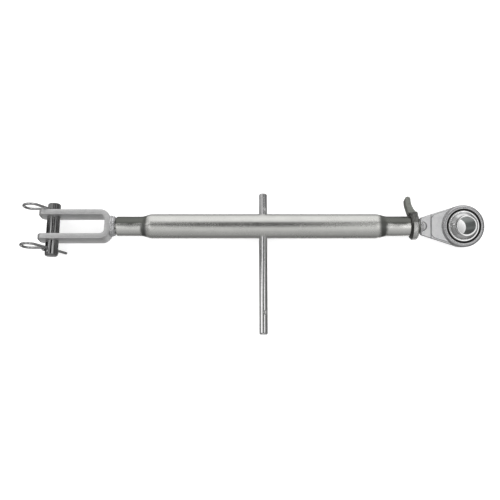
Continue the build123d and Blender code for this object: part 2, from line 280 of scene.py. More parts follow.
def steel(name, colour, roughness, cloud=60.0, contrast=0.2, marks=(1, 1, 1), marks_depth=0.15,
          marks_tone=0.1, marks_fineness=60.0, grain=0.0, grain_size=1100.0, edge=0.4, hollow=0.5,
          hollow_shade_colour=(0.12, 0.12, 0.11), bump=0.03, tint=None):
    """A bare or plated steel finish: plating tone, tool marks, blasted grain, rubbed edges, painted shade in
    the hollows.

    tint, if given, is a function of the tree and the Object coordinates. It returns a list of layers: a mask,
    and the colour and roughness that it brings over the rest.
    """
    material = bpy.data.materials.new(name)
    material.use_nodes = True
    tree = material.node_tree
    shader = tree.nodes["Principled BSDF"]
    place = add(tree, "TexCoord").outputs["Object"]
    plating = add(tree, "Group", node_tree=PLATING)
    lines = add(tree, "Group", node_tree=MARKS)
    wear_and_shade = add(tree, "Group", node_tree=WEAR_AND_SHADE)
    skin = add(tree, "Group", node_tree=GRAIN)
    stretched = add(tree, "Mapping", {"Vector": place, "Scale": marks}).outputs["Vector"]
    for group, vector in ((plating, place), (lines, stretched), (wear_and_shade, place), (skin, place)):
        tree.links.new(vector, group.inputs["Vector"])
    plating.inputs["Cloud size"].default_value = cloud
    plating.inputs["Contrast"].default_value = contrast
    lines.inputs["Fineness"].default_value = marks_fineness
    lines.inputs["Depth"].default_value = marks_depth
    wear_and_shade.inputs["Edge"].default_value = edge
    wear_and_shade.inputs["Hollow"].default_value = hollow
    skin.inputs["Grain size"].default_value = grain_size
    skin.inputs["Pit depth"].default_value = grain

    base = add(tree, "RGB").outputs[0]
    base.default_value = (*colour, 1)
    rough = add(tree, "Value").outputs[0]
    rough.default_value = roughness
    line_tone = math_node(tree, "MULTIPLY", math_node(tree, "SUBTRACT", lines.outputs["Lines"], 0.5),
                          marks_tone * 4)
    grain_tone = math_node(tree, "MULTIPLY", math_node(tree, "SUBTRACT", skin.outputs["Speckle"], 0.5),
                           grain * 0.5)
    tone = math_node(tree, "ADD", plating.outputs["Tone"], math_node(tree, "ADD", line_tone, grain_tone))
    toned = add(tree, "VectorMath", {0: base, "Scale": tone}, operation="SCALE").outputs[0]
    # painted shade: the hollows take the dark hollow colour, and further down they are made rougher
    hollow_shaded = blend(tree, wear_and_shade.outputs["HollowShade"], toned, (*hollow_shade_colour, 1))
    bright = tuple(min(1.0, part * 1.25 + 0.06) for part in colour)
    surface = blend(tree, wear_and_shade.outputs["Rubbed"], hollow_shaded, (*bright, 1))
    for mask, tint_colour, tint_rough in tint(tree, place) if tint else []:
        tinted = add(tree, "VectorMath", {0: tint_colour, "Scale": tone}, operation="SCALE").outputs[0]
        surface = blend(tree, mask, surface, tinted)
        rough = add(tree, "MapRange", {"Value": mask, "To Min": rough, "To Max": tint_rough}).outputs[0]
    tree.links.new(surface, shader.inputs["Base Color"])
    shifted = math_node(tree, "ADD", rough,
                        math_node(tree, "MULTIPLY", plating.outputs["Roughness shift"], 0.25))
    hollow_rough = math_node(tree, "ADD", shifted, math_node(tree, "MULTIPLY", wear_and_shade.outputs["HollowShade"], 0.25))
    tree.links.new(math_node(tree, "MAXIMUM", hollow_rough, 0.05, clamp=True), shader.inputs["Roughness"])
    height = math_node(tree, "ADD", lines.outputs["Height"],
                       math_node(tree, "ADD", skin.outputs["Height"],
                                 math_node(tree, "MULTIPLY", plating.outputs["Height"], 0.1)))
    raised = add(tree, "Bump", {"Height": height, "Strength": 1.0, "Distance": bump * MM * 10})
    tree.links.new(raised.outputs["Normal"], shader.inputs["Normal"])
    shader.inputs["Metallic"].default_value = 1.0
    return material


def smooth_step(tree, value, start, end):
    """0 at start, 1 at end, smooth between them."""
    return add(tree, "MapRange", {"Value": value, "From Min": start, "From Max": end},
               interpolation_type="SMOOTHSTEP").outputs[0]


def band(tree, value, start, end, soft):
    """1 between start and end, and 0 beyond them by soft."""
    rise = smooth_step(tree, value, start - soft, start + soft)
    fall = smooth_step(tree, value, end + soft, end - soft)
    return math_node(tree, "MULTIPLY", rise, fall)


def millimetres(tree, place):
    """The X and Y Object coordinates in millimetres."""
    split = add(tree, "SeparateXYZ", {0: place}).outputs
    return [math_node(tree, "MULTIPLY", split[axis], 1 / MM) for axis in ("X", "Y")]


def swage_tint(tree, place):
    """Painted shade along the +Y side of the swaged necks, and dark rings at the shoulders."""
    waver = add(tree, "TexNoise", {"Vector": place, "Scale": 60.0, "Detail": 4.0}).outputs["Fac"]
    shake = math_node(tree, "MULTIPLY", math_node(tree, "SUBTRACT", waver, 0.5), 6.0)
    along, across = (math_node(tree, "ADD", value, shake) for value in millimetres(tree, place))
    fork_side = TUBE_LOW.x + FORK_NECK_LENGTH + FORK_SHOULDER * 0.55
    eye_side = TUBE_HIGH.x - EYE_NECK_LENGTH - EYE_SHOULDER * 0.5
    necks = math_node(tree, "MAXIMUM", smooth_step(tree, along, fork_side + 2, fork_side - 2),
                      smooth_step(tree, along, eye_side - 7, eye_side + 4))
    # painted shade: the necks darkened on their +Y side
    scale = math_node(tree, "MULTIPLY", necks, smooth_step(tree, across, -2.5, 1.0))
    rings = math_node(tree, "MAXIMUM", band(tree, along, fork_side - 9, fork_side - 1, 2.5),
                      band(tree, along, eye_side - 3, eye_side + 7, 3))
    return [(necks, (0.84, 0.84, 0.81), 0.24),
            (rings, (0.17, 0.175, 0.165), 0.3),
            (scale, (0.17, 0.175, 0.16), 0.3)]


def nut_tint(tree, place):
    """Painted shade on the nut's +Y half, a painted highlight on its rim on the -Y side away from its lever,
    and painted shade on that side's chamfer facing the tube.
    """
    along, across = millimetres(tree, place)
    away = smooth_step(tree, across, 1.5, -1.5)
    # painted highlight: together with the -Y side mask, the rim is brightened
    rim = band(tree, along, NUT_LOW.x + NUT_CHAMFER, NUT_HIGH.x - NUT_CHAMFER + 0.8, 0.5)
    # painted shade: together with the -Y side mask, the chamfer facing the tube is darkened
    face = smooth_step(tree, along, NUT_LOW.x + NUT_CHAMFER + 0.3, NUT_LOW.x + NUT_CHAMFER - 0.6)
    # painted shade: the +Y half darkened
    upper = band(tree, across, 0.0, 19.0, 1.2)
    return [(upper, (0.21, 0.21, 0.2), 0.45),
            (math_node(tree, "MULTIPLY", rim, away), (0.8, 0.8, 0.78), 0.25),
            (math_node(tree, "MULTIPLY", face, away), (0.09, 0.09, 0.085), 0.4)]


def from_point(tree, place, point):
    """The distance in millimetres from the eye's own axis, moved along the link to point."""
    level = add(tree, "Mapping", {"Vector": place, "Rotation": (-EYE_TWIST, 0, 0)}).outputs["Vector"]
    along, across = millimetres(tree, level)
    along = math_node(tree, "SUBTRACT", along, point)
    square = math_node(tree, "ADD", math_node(tree, "MULTIPLY", along, along),
                       math_node(tree, "MULTIPLY", across, across))
    return math_node(tree, "SQRT", square)


def from_eye_axis(tree, place):
    """The distance in millimetres from the axis of the eye and its ball."""
    return from_point(tree, place, 0.0)


def eye_tint(tree, place):
    """A smoother turned rim, and painted shade in the groove round the race, on the side faces of the web and
    eye, along the panel's step and round the screw's dome.
    """
    away = from_eye_axis(tree, place)
    along = millimetres(tree, place)[0]
    rim = band(tree, away, *EYE_RIM, 0.4)
    # painted shade: the groove round the race darkened
    groove = band(tree, away, *RACE_GROOVE, 0.6)
    facing = add(tree, "TexCoord").outputs["Normal"]
    upright = add(tree, "VectorMath", {0: facing, 1: EYE_TURN.to_3x3() @ Vector((0, 0, 1))},
                  operation="DOT_PRODUCT").outputs["Value"]
    level = math_node(tree, "ABSOLUTE", upright, 0.0)
    # painted shade: faces turned away from the eye's axis darkened, at the eye's outside and along the web's
    # sides
    side = smooth_step(tree, level, 0.86, 0.6)
    side = math_node(tree, "MULTIPLY", side, smooth_step(tree, away, 29.0, 31.5))
    rim_edge = smooth_step(tree, level, 0.5, 0.2)
    side = math_node(tree, "MAXIMUM", side, rim_edge)
    # painted shadow: a dark line along the panel's step
    line = band(tree, along, PANEL_START - 0.5, PANEL_START + 0.5, 0.5)
    # painted shade: a dark ring round the screw's dome where it meets the web
    seat = band(tree, from_point(tree, place, EYE_SCREW_HIGH.x - SHANK_RADIUS), *SOCKET_RIM, 0.4)
    return [(rim, (0.66, 0.66, 0.67), 0.14),
            (groove, (0.07, 0.07, 0.068), 0.35),
            (side, (0.3, 0.3, 0.3), 0.35),
            (line, (0.16, 0.16, 0.16), 0.4),
            (seat, (0.14, 0.14, 0.14), 0.4)]


def jaw_tint(tree, place):
    """Painted shade on the sawn ends of the fork's arms."""
    along = millimetres(tree, place)[0]
    # painted shade: the last two millimetres or so of each arm darkened
    return [(smooth_step(tree, along, FORK_LOW.x + 2.8, FORK_LOW.x + 2.0), (0.12, 0.12, 0.12), 0.35)]


def screw_tint(tree, place):
    """Painted highlight: the eye screw's tip, where it lies in the web, coloured near white."""
    along = millimetres(tree, place)[0]
    # painted highlight: the tip coloured near white and made rougher
    return [(smooth_step(tree, along, WEB_START + 1.5, WEB_START + 3.5), (0.98, 0.98, 0.98), 0.5)]


def race_tint(tree, place):
    """Painted shade on the race's outer chamfer."""
    # painted shade: the outer chamfer darkened
    return [(smooth_step(tree, from_eye_axis(tree, place), 22.2, 22.9), (0.08, 0.08, 0.078), 0.35)]


def ball_tint(tree, place):
    """A rougher, unpolished bore, with painted shade darkening its colour."""
    # painted shade: the bore coloured dark; its greater roughness is the bore's own finish
    return [(smooth_step(tree, from_eye_axis(tree, place), BORE + 0.35, BORE + 0.05), (0.3, 0.33, 0.32), 0.3)]


FINISH = {
    "plated_tube": steel("satin plated tube", (0.78, 0.78, 0.75), 0.26, cloud=34, contrast=0.22,
                         marks=(0.06, 1, 1), marks_fineness=160, marks_tone=0.05, marks_depth=0.12,
                         grain=0.12, grain_size=1500, edge=0.15, hollow=0.2, tint=swage_tint),
    "bright_bar": steel("bright drawn bar", (0.8, 0.8, 0.8), 0.11, cloud=50, contrast=0.12,
                        marks=(1, 0.05, 1), marks_fineness=260, marks_tone=0.05, marks_depth=0.08,
                        edge=0.3, hollow=0.6),
    "zinc_flat": steel("zinc plated flat bar", (0.7, 0.7, 0.7), 0.42, cloud=70, contrast=0.35,
                       marks=(0.15, 1, 1), marks_fineness=120, marks_tone=0.1, marks_depth=0.25,
                       grain=0.3, grain_size=900, edge=0.5, hollow=0.5, tint=jaw_tint),
    "plated_screw": steel("plated screw thread", (0.72, 0.72, 0.71), 0.22, cloud=80, contrast=0.25,
                          edge=0.6, hollow=0.9, tint=screw_tint),
    "weld_bead": steel("plated weld bead", (0.8, 0.8, 0.81), 0.24, cloud=160, contrast=0.6,
                       grain=0.25, grain_size=700, edge=0.6, hollow=0.8),
    "dark_pin": steel("polished hardened pin", (0.34, 0.34, 0.34), 0.06, cloud=40, contrast=0.1,
                      marks=(1, 0.04, 1), marks_fineness=200, marks_tone=0.05, marks_depth=0.06,
                      edge=0.5, hollow=0.6),
    "spring_wire": steel("plated spring wire", (0.6, 0.6, 0.6), 0.13, cloud=130, contrast=0.5,
                         marks_fineness=400, edge=0.2, hollow=0.6),
    "blasted_forging": steel("shot-blasted forging", (0.97, 0.97, 0.98), 0.34, cloud=90, contrast=0.25,
                             grain=0.8, grain_size=950, edge=0.35, hollow=0.9, bump=0.04, tint=eye_tint),
    "bright_ring": steel("bright swaged ring", (0.92, 0.92, 0.92), 0.1, cloud=60, contrast=0.1,
                         edge=0.4, hollow=0.3, tint=race_tint),
    "bright_ball": steel("polished ball", (0.86, 0.86, 0.86), 0.1, cloud=50, contrast=0.1,
                         marks_fineness=220, marks_tone=0.03, marks_depth=0.03, edge=0.4, hollow=0.3,
                         tint=ball_tint),
    "dull_casting": steel("dull dark casting", (0.36, 0.37, 0.34), 0.42, cloud=110, contrast=0.7,
                          grain=0.8, grain_size=600, edge=0.5, hollow=0.7, bump=0.06, tint=nut_tint),
}


# ---------------------------------------------------------------- making shapes

def rounded(corners, segments=5):
    """Outline points from (along, radius, round) corners, with each round turned into an arc."""
    points = []
    count = len(corners)
    for index, (along, radius, size) in enumerate(corners):
        here = Vector((along, radius))
        before = Vector(corners[index - 1][:2]) - here
        after = Vector(corners[(index + 1) % count][:2]) - here
        if not size:
            points.append(here)
            continue
        half = before.angle(after) / 2
        reach = size / math.tan(half)
        start, end = here + before.normalized() * reach, here + after.normalized() * reach
        middle = here + (before.normalized() + after.normalized()).normalized() * (size / math.sin(half))
        first, last = start - middle, end - middle
        sweep = first.angle_signed(last)
        for step in range(segments + 1):
            points.append(middle + Matrix.Rotation(-sweep * step / segments, 2) @ first)
    return points


def lathe(points, closed=False, steps=96, axis="X"):
    """A bmesh turned from (along, radius) points in millimetres about the axis."""
    shape = bmesh.new()
    chain = [shape.verts.new((along * MM, 0, radius * MM)) for along, radius in points]
    pairs = list(zip(chain, chain[1:])) + ([(chain[-1], chain[0])] if closed else [])
    edges = [shape.edges.new(pair) for pair in pairs]
    bmesh.ops.spin(shape, geom=chain + edges, cent=(0, 0, 0), axis=X_AXIS, angle=FULL_TURN, steps=steps,
                   use_merge=True)
    turn = {"X": Matrix.Identity(4), "Y": Matrix.Rotation(math.pi / 2, 4, "Z"),
            "Z": Matrix.Rotation(-math.pi / 2, 4, "Y")}[axis]
    shape.transform(turn)
    return tidied(shape)


def tidied(shape):
    """Merges doubles and points the faces outwards."""
    bmesh.ops.remove_doubles(shape, verts=shape.verts, dist=1e-7)
    bmesh.ops.dissolve_degenerate(shape, edges=shape.edges, dist=1e-8)
    bmesh.ops.recalc_face_normals(shape, faces=shape.faces)
    return shape


def moved(shape, x=0.0, y=0.0, z=0.0):
    bmesh.ops.translate(shape, verts=shape.verts, vec=Vector((x, y, z)) * MM)
    return shape


def as_object(shape, name):
    mesh = bpy.data.meshes.new(name)
    shape.to_mesh(mesh)
    shape.free()
    made = bpy.data.objects.new(name, mesh)
    bpy.context.scene.collection.objects.link(made)
    return made


def applied(made, *modifiers):
    """Adds (kind, settings) modifiers to an object and makes their result its mesh."""
    for kind, settings in modifiers:
        modifier = made.modifiers.new(kind.lower(), kind)
        for key, value in settings.items():
            setattr(modifier, key, value)
    bpy.context.view_layer.update()
    graph = bpy.context.evaluated_depsgraph_get()
    result = bpy.data.meshes.new_from_object(made.evaluated_get(graph))
    made.modifiers.clear()
    made.data = result
    return made


def combined(made, tools, operation):
    """Joins or cuts an object with other shapes, which are used up."""
    for tool in tools:
        other = as_object(tool, "tool") if isinstance(tool, bmesh.types.BMesh) else tool
        applied(made, ("BOOLEAN", {"object": other, "operation": operation, "solver": "EXACT"}))
        bpy.data.objects.remove(other)
    return made


def finished(made, body, nodes, finish, crease=32):
    """Gives a made object its finish, its smooth shading, its body and the CAD nodes that it stands for."""
    made.data.materials.clear()
    made.data.materials.append(FINISH[finish])
    made.data.shade_smooth()
    made.data.set_sharp_from_angle(angle=math.radians(crease))
    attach(made, body)
    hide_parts(*nodes)
    return made


def swell(start, end, low, high, count=10):
    """Points of a smooth shoulder from (start, low) to (end, high)."""
    eased = [(step / count, (1 - math.cos(math.pi * step / count)) / 2) for step in range(count + 1)]
    return [(start + (end - start) * along, low + (high - low) * rise) for along, rise in eased]


# ---------------------------------------------------------------- the tube and its bar

def swaged_tube():
    fork_end, eye_end = TUBE_LOW.x, TUBE_HIGH.x
    outside = rounded([(fork_end, THREAD_BORE + 1.2, 0), (fork_end, FORK_NECK - 1.7, 0.5),
                       (fork_end + 1.7, FORK_NECK, 0.8), (fork_end + 20, FORK_NECK, 0)])
    outside += swell(fork_end + FORK_NECK_LENGTH, fork_end + FORK_NECK_LENGTH + FORK_SHOULDER,
                     FORK_NECK, TUBE_RADIUS)
    outside += swell(eye_end - EYE_NECK_LENGTH - EYE_SHOULDER, eye_end - EYE_NECK_LENGTH,
                     TUBE_RADIUS, EYE_NECK)
    outside += rounded([(eye_end - 20, EYE_NECK, 0), (eye_end, EYE_NECK, 0.6), (eye_end, THREAD_BORE + 1, 0)])
    inside = [(eye_end - 1.0, THREAD_BORE)]
    inside += swell(eye_end - 60, eye_end - 64, THREAD_BORE, TUBE_BORE, 4)
    inside += swell(fork_end + 64, fork_end + 60, TUBE_BORE, THREAD_BORE, 4)
    inside += [(fork_end + 1.2, THREAD_BORE)]
    tube = as_object(lathe(outside + inside, closed=True, steps=128), "swaged_tube")
    reach = TUBE_RADIUS + 6
    hole = lathe([(-reach, 0), (-reach, BAR_RADIUS + BAR_GAP), (reach, BAR_RADIUS + BAR_GAP), (reach, 0)],
                 steps=64, axis="Y")
    tube = combined(tube, [moved(hole, x=BAR_X)], "DIFFERENCE")
    return finished(tube, "tube", ["body_tube"], "plated_tube")


def turning_bar():
    """The tommy bar: chamfered ends, and staked buttons that keep it in the tube."""
    low, high = BAR_LOW.y, BAR_HIGH.y
    start, stop = low + BAR_PLAIN_END, high - BAR_PLAIN_END
    ends = rounded([(low, 0, 0), (low, BAR_RADIUS - 1.3, 0.5), (low + 1.3, BAR_RADIUS, 0.7),
                    (start, BAR_RADIUS, 0)])
    rings = int((stop - start) / BAR_RING)
    ends += [(start + (stop - start) * step / rings, BAR_RADIUS) for step in range(1, rings)]
    ends += rounded([(stop, BAR_RADIUS, 0), (high - 1.3, BAR_RADIUS, 0.7), (high, BAR_RADIUS - 1.3, 0.5),
                     (high, 0, 0)])
    bar = lathe(ends, steps=96, axis="Y")
    line = Vector((math.cos(STAKE_SIDE), 0, math.sin(STAKE_SIDE)))
    for vertex in bar.verts:
        outward = Vector((vertex.co.x, 0, vertex.co.z))
        if outward.length < (BAR_RADIUS - 0.3) * MM:
            continue
        outward.normalize()
        around = math.acos(min(1.0, abs(outward.dot(line)))) * BAR_RADIUS
        for middle in (STAKE_ABOVE, STAKE_BELOW):
            away = math.hypot(vertex.co.y / MM - middle, around)
            button = BUTTON_HEIGHT / (1 + math.exp(min(away - BUTTON_RADIUS, 10.0) * 5))
            groove = BUTTON_GROOVE_DEPTH * math.exp(-((away - BUTTON_GROOVE_RADIUS) / 0.5) ** 2)
            vertex.co += outward * (button - groove) * MM
    return finished(as_object(moved(bar, x=BAR_X), "turning_bar"), "tommy_bar", ["tommy_bar"], "bright_bar")


# ---------------------------------------------------------------- screws

def screw_thread(start, end, hand):
    """A closed screw with a real helical thread about X, right-handed for hand 1 and left-handed for -1."""
    around = 40
    root = SCREW_RADIUS - THREAD_DEPTH
    profile = [(0, root), (PITCH * 0.14, root), (PITCH * 0.46, SCREW_RADIUS - 0.05),
               (PITCH * 0.62, SCREW_RADIUS - 0.05), (PITCH * 0.94, root), (PITCH, root)]
    turns = math.ceil((end - start) / PITCH) + 2
    shape = bmesh.new()
    chain = [shape.verts.new(((start - PITCH + along) * MM, 0, radius * MM)) for along, radius in profile]
    edges = [shape.edges.new(pair) for pair in zip(chain, chain[1:])]
    bmesh.ops.spin(shape, geom=chain + edges, cent=(0, 0, 0), axis=X_AXIS * hand,
                   dvec=X_AXIS * PITCH * MM / around, angle=FULL_TURN * turns, steps=around * turns)
    bmesh.ops.remove_doubles(shape, verts=shape.verts, dist=2e-6)
    for place, side in ((start, -1), (end, 1)):
        bmesh.ops.bisect_plane(shape, geom=shape.verts[:] + shape.edges[:] + shape.faces[:], dist=1e-7,
                               plane_co=X_AXIS * place * MM, plane_no=X_AXIS * side, clear_outer=True)
        rim = [edge for edge in shape.edges if edge.is_boundary
               and all(abs(v.co.x - place * MM) < 1e-6 for v in edge.verts)]
        bmesh.ops.edgeloop_fill(shape, edges=rim)
    return tidied(shape)


def jaw_screw():
    screw = as_object(screw_thread(FORK_SCREW_LOW.x + 0.5, FORK_SCREW_HIGH.x, -1), "left_hand_screw")
    return finished(screw, "fork_end", ["fork_spindle"], "plated_screw", crease=25)


def eye_screw():
    thread = as_object(screw_thread(EYE_SCREW_LOW.x, SHANK_START, 1), "right_hand_screw")
    tip = EYE_SCREW_HIGH.x
    dome = [(tip - SHANK_RADIUS + SHANK_RADIUS * math.sin(a), SHANK_RADIUS * math.cos(a))
            for a in (math.pi / 2 * step / 14 for step in range(15))]
    shank = lathe([(SHANK_START - 4, 0), (SHANK_START - 4, SHANK_RADIUS), *dome[:-1], (tip, 0)], steps=72)
    screw = combined(thread, [shank], "UNION")
    return finished(screw, "eye_end", ["eye_spindle"], "plated_screw", crease=25)


# ---------------------------------------------------------------- the jaw, its pin and its hairpins

def carried_on(shape, face, length, direction):
    """Extrudes an end face a length in millimetres in a direction, and returns the new end face."""
    made = bmesh.ops.extrude_face_region(shape, geom=[face])["geom"]
    verts = [part for part in made if isinstance(part, bmesh.types.BMVert)]
    bmesh.ops.delete(shape, geom=[face], context="FACES_ONLY")
    bmesh.ops.translate(shape, verts=verts, vec=direction * length * MM)
    return next(part for part in made if isinstance(part, bmesh.types.BMFace))


def carried_round(shape, face, centre, axis, angle, steps):
    """Spins an end face about an axis at centre, in millimetres, and returns the new end face."""
    made = bmesh.ops.spin(shape, geom=[face], cent=centre * MM, axis=axis, angle=angle, steps=steps)
    bmesh.ops.delete(shape, geom=[face], context="FACES_ONLY")
    return next(part for part in made["geom_last"] if isinstance(part, bmesh.types.BMFace))


def jaw():
    """A flat bar bent to a U, with rolled edges, rounded arm ends and holes for the pin."""
    half = FORK_HIGH.z
    outer = JAW_GAP / 2 + ARM
    middle = outer - ARM / 2
    bend = BEND_RADIUS + ARM / 2
    bend_x = FORK_HIGH.x - ARM / 2 - bend
    shape = bmesh.new()
    section = bmesh.ops.create_grid(shape, x_segments=1, y_segments=1, size=0.5)["verts"]
    bmesh.ops.scale(shape, verts=section, vec=(2 * half * MM, ARM * MM, 1))
    bmesh.ops.rotate(shape, verts=section, cent=(0, 0, 0), matrix=Matrix.Rotation(math.pi / 2, 3, "Y"))
    bmesh.ops.translate(shape, verts=section, vec=(FORK_LOW.x * MM, middle * MM, 0))
    face = shape.faces[:][0]
    straight = (bend_x - FORK_LOW.x) / 6
    for _ in range(6):
        face = carried_on(shape, face, straight, X_AXIS)
    face = carried_round(shape, face, Vector((bend_x, middle - bend, 0)), Z_AXIS, -math.pi / 2, 12)
    face = carried_on(shape, face, middle - bend, -Y_AXIS)
    bmesh.ops.delete(shape, geom=[face], context="FACES_ONLY")
    bmesh.ops.mirror(shape, geom=shape.verts[:] + shape.edges[:] + shape.faces[:], axis="Y",
                     merge_dist=0.01 * MM)
    bmesh.ops.holes_fill(shape, edges=[edge for edge in shape.edges if edge.is_boundary])
    tidied(shape)
    tips = [edge for edge in shape.edges
            if all(abs(vertex.co.x / MM - FORK_LOW.x) < 0.01 for vertex in edge.verts)
            and abs(edge.verts[0].co.z - edge.verts[1].co.z) < 1e-6]
    bmesh.ops.bevel(shape, geom=tips, offset=ARM_CORNER * MM, affect="EDGES", segments=9, profile=0.5,
                    material=-1)
    fork = as_object(tidied(shape), "jaw")
    fork = applied(fork, ("BEVEL", {"width": 1.1 * MM, "segments": 3, "limit_method": "ANGLE",
                                    "angle_limit": math.radians(50)}))
    bore = PIN_RADIUS + 0.25
    reach = outer + 5
    cutter = lathe([(-reach, 0), (-reach, bore), (reach, bore), (reach, 0)], axis="Y", steps=72)
    fork = combined(fork, [moved(cutter, x=PIN_X)], "DIFFERENCE")
    return finished(fork, "fork_end", ["fork_head"], "zinc_flat")


def rough_bead(outline, name, lump_size, lump_height, steps=84):
    """A weld bead: a turned ring whose surface is thrown into overlapping ripples and lumps."""
    shape = lathe(outline, closed=True, steps=steps)
    bmesh.ops.subdivide_edges(shape, edges=shape.edges, cuts=1, use_grid_fill=True)
    made = as_object(tidied(shape), name)
    grain = bpy.data.textures.new(name + "_lumps", "CLOUDS")
    grain.noise_scale = lump_size * MM
    grain.noise_depth = 2
    return applied(made, ("REMESH", {"mode": "VOXEL", "voxel_size": 0.45 * MM}),
                   ("DISPLACE", {"texture": grain, "strength": lump_height * MM, "mid_level": 0.5,
                                 "texture_coords": "LOCAL"}),
                   ("SMOOTH", {"factor": 0.5, "iterations": 2}))


def jaw_bead():
    back = FORK_HIGH.x
    outline = [(back - 0.6, SCREW_RADIUS - 0.8), (back - 0.6, 15.4), (back + 1.2, 15.9), (back + 3.0, 14.6),
               (back + 4.6, 14.9), (back + 6.2, 13.6), (back + 7.2, 12.0), (back + 7.2, SCREW_RADIUS - 0.8)]
    bead = rough_bead(outline, "jaw_weld_bead", 2.6, 1.7)
    return finished(bead, "fork_end", ["fork_weld"], "weld_bead", crease=60)


def clevis_pin():
    low, high = PIN_LOW.y, PIN_HIGH.y
    points = rounded([(low, 0, 0), (low, PIN_RADIUS - 1.4, 0.5), (low + 1.4, PIN_RADIUS, 0.6),
                      (high - 1.4, PIN_RADIUS, 0.6), (high, PIN_RADIUS - 1.4, 0.5), (high, 0, 0)])
    pin = as_object(moved(lathe(points, axis="Y", steps=96), x=PIN_X), "clevis_pin")
    for clip_low in (SHORT_CLIP_LOW, LONG_CLIP_LOW):
        hole = lathe([(-20, 0), (-20, WIRE + 0.25), (20, WIRE + 0.25), (20, 0)], steps=40)
        hole.transform(Matrix.Rotation(CLIP_ANGLE, 4, "Y"))
        pin = combined(pin, [moved(hole, x=PIN_X, y=clip_low.y + WIRE)], "DIFFERENCE")
    return finished(pin, "hitch_pin", ["hitch_pin"], "dark_pin")


def bent(shape, face, place, heading, angle, radius):
    """Bends wire by an angle on a radius: the end face, place and heading after the bend."""
    side = math.copysign(1, angle)
    centre = place + Matrix.Rotation(side * math.pi / 2, 3, "Z") @ heading * radius
    steps = max(2, math.ceil(abs(angle) / math.radians(7)))
    face = carried_round(shape, face, centre, Z_AXIS, angle, steps)
    turn = Matrix.Rotation(angle, 3, "Z")
    return face, centre + turn @ (place - centre), turn @ heading


def hairpin(name, low, body, node_name):
    """A spring clip bent from one wire: straight leg, open loop, and a leg that waves over the pin.

    It is bent in a plane with the straight leg along X, then stood up in the pin's cross hole.
    """
    shape = bmesh.new()
    place, heading = Vector((CLIP_TIP, 0, 0)), -X_AXIS
    bmesh.ops.create_circle(shape, cap_ends=True, segments=20, radius=WIRE * MM)
    bmesh.ops.rotate(shape, verts=shape.verts, cent=(0, 0, 0), matrix=Matrix.Rotation(-math.pi / 2, 3, "Y"))
    bmesh.ops.translate(shape, verts=shape.verts, vec=place * MM)
    first = shape.faces[:][0]
    face = carried_on(shape, first, 0.0, heading)
    start_cap = [edge for edge in shape.edges if edge.is_boundary]
    leg = (CLIP_TIP + COIL_REACH) / 8
    for _ in range(8):
        face = carried_on(shape, face, leg, heading)
        place = place + heading * leg
    face, place, heading = bent(shape, face, place, heading, -LOOP_SWEEP, COIL)
    crest = PIN_RADIUS + WIRE + 0.6
    wave = [(-CLIP_NECK_REACH, CLIP_NECK), (-CLIP_CREST_HALF, crest), (CLIP_CREST_HALF, crest),
            (CLIP_NECK_REACH, CLIP_NECK), (CLIP_NECK_REACH + CLIP_FLARE, crest)]
    corners = [Vector((along, away, 0)) for along, away in wave]
    turn = heading.to_2d().angle_signed((corners[0] - place).to_2d())
    face, place, heading = bent(shape, face, place, heading, -turn, CLIP_BEND)
    for corner, after in zip(corners, corners[1:]):
        turn = -heading.to_2d().angle_signed((after - corner).to_2d())
        run = (corner - place).length - CLIP_BEND * math.tan(abs(turn) / 2)
        face = carried_on(shape, face, run, heading)
        place = place + heading * run
        face, place, heading = bent(shape, face, place, heading, turn, CLIP_BEND)
    face = carried_on(shape, face, (corners[-1] - place).length, heading)
    bmesh.ops.edgeloop_fill(shape, edges=start_cap)
    tidied(shape)
    rims = [edge for edge in shape.edges if any(len(side.verts) > 4 for side in edge.link_faces)]
    bmesh.ops.bevel(shape, geom=rims, offset=0.8 * MM, affect="EDGES", segments=4, profile=0.5, material=-1)
    shape.transform(Matrix.Rotation(-math.pi / 2, 4, "X"))
    shape.transform(Matrix.Rotation(CLIP_ANGLE, 4, "Y"))
    moved(shape, x=PIN_X, y=low.y + WIRE)
    return finished(as_object(tidied(shape), name), body, [node_name], "spring_wire", crease=50)


# ---------------------------------------------------------------- the eye, its ball and the nut

def tapered(start, margin, half, corner):
    """A plate from start to the eye, tangent to it, with a cut corner at each side of its start."""
    slope = math.tan(WEB_ANGLE)
    inner = -EYE_RADIUS / 2

    def wide(x):
        return EYE_RADIUS / math.cos(WEB_ANGLE) + x * slope

    side = [(start, wide(start) - margin), (start + corner, wide(start + corner) - margin / 3),
            (inner, wide(inner) - margin / 3)]
    shape = bmesh.new()
    outline = side + [(x, -y) for x, y in reversed(side)]
    verts = [shape.verts.new((x * MM, y * MM, -half * MM)) for x, y in outline]
    face = shape.faces.new(verts)
    made = bmesh.ops.extrude_face_region(shape, geom=[face])["geom"]
    top = [part for part in made if isinstance(part, bmesh.types.BMVert)]
    bmesh.ops.translate(shape, verts=top, vec=(0, 0, 2 * half * MM))
    return tidied(shape)


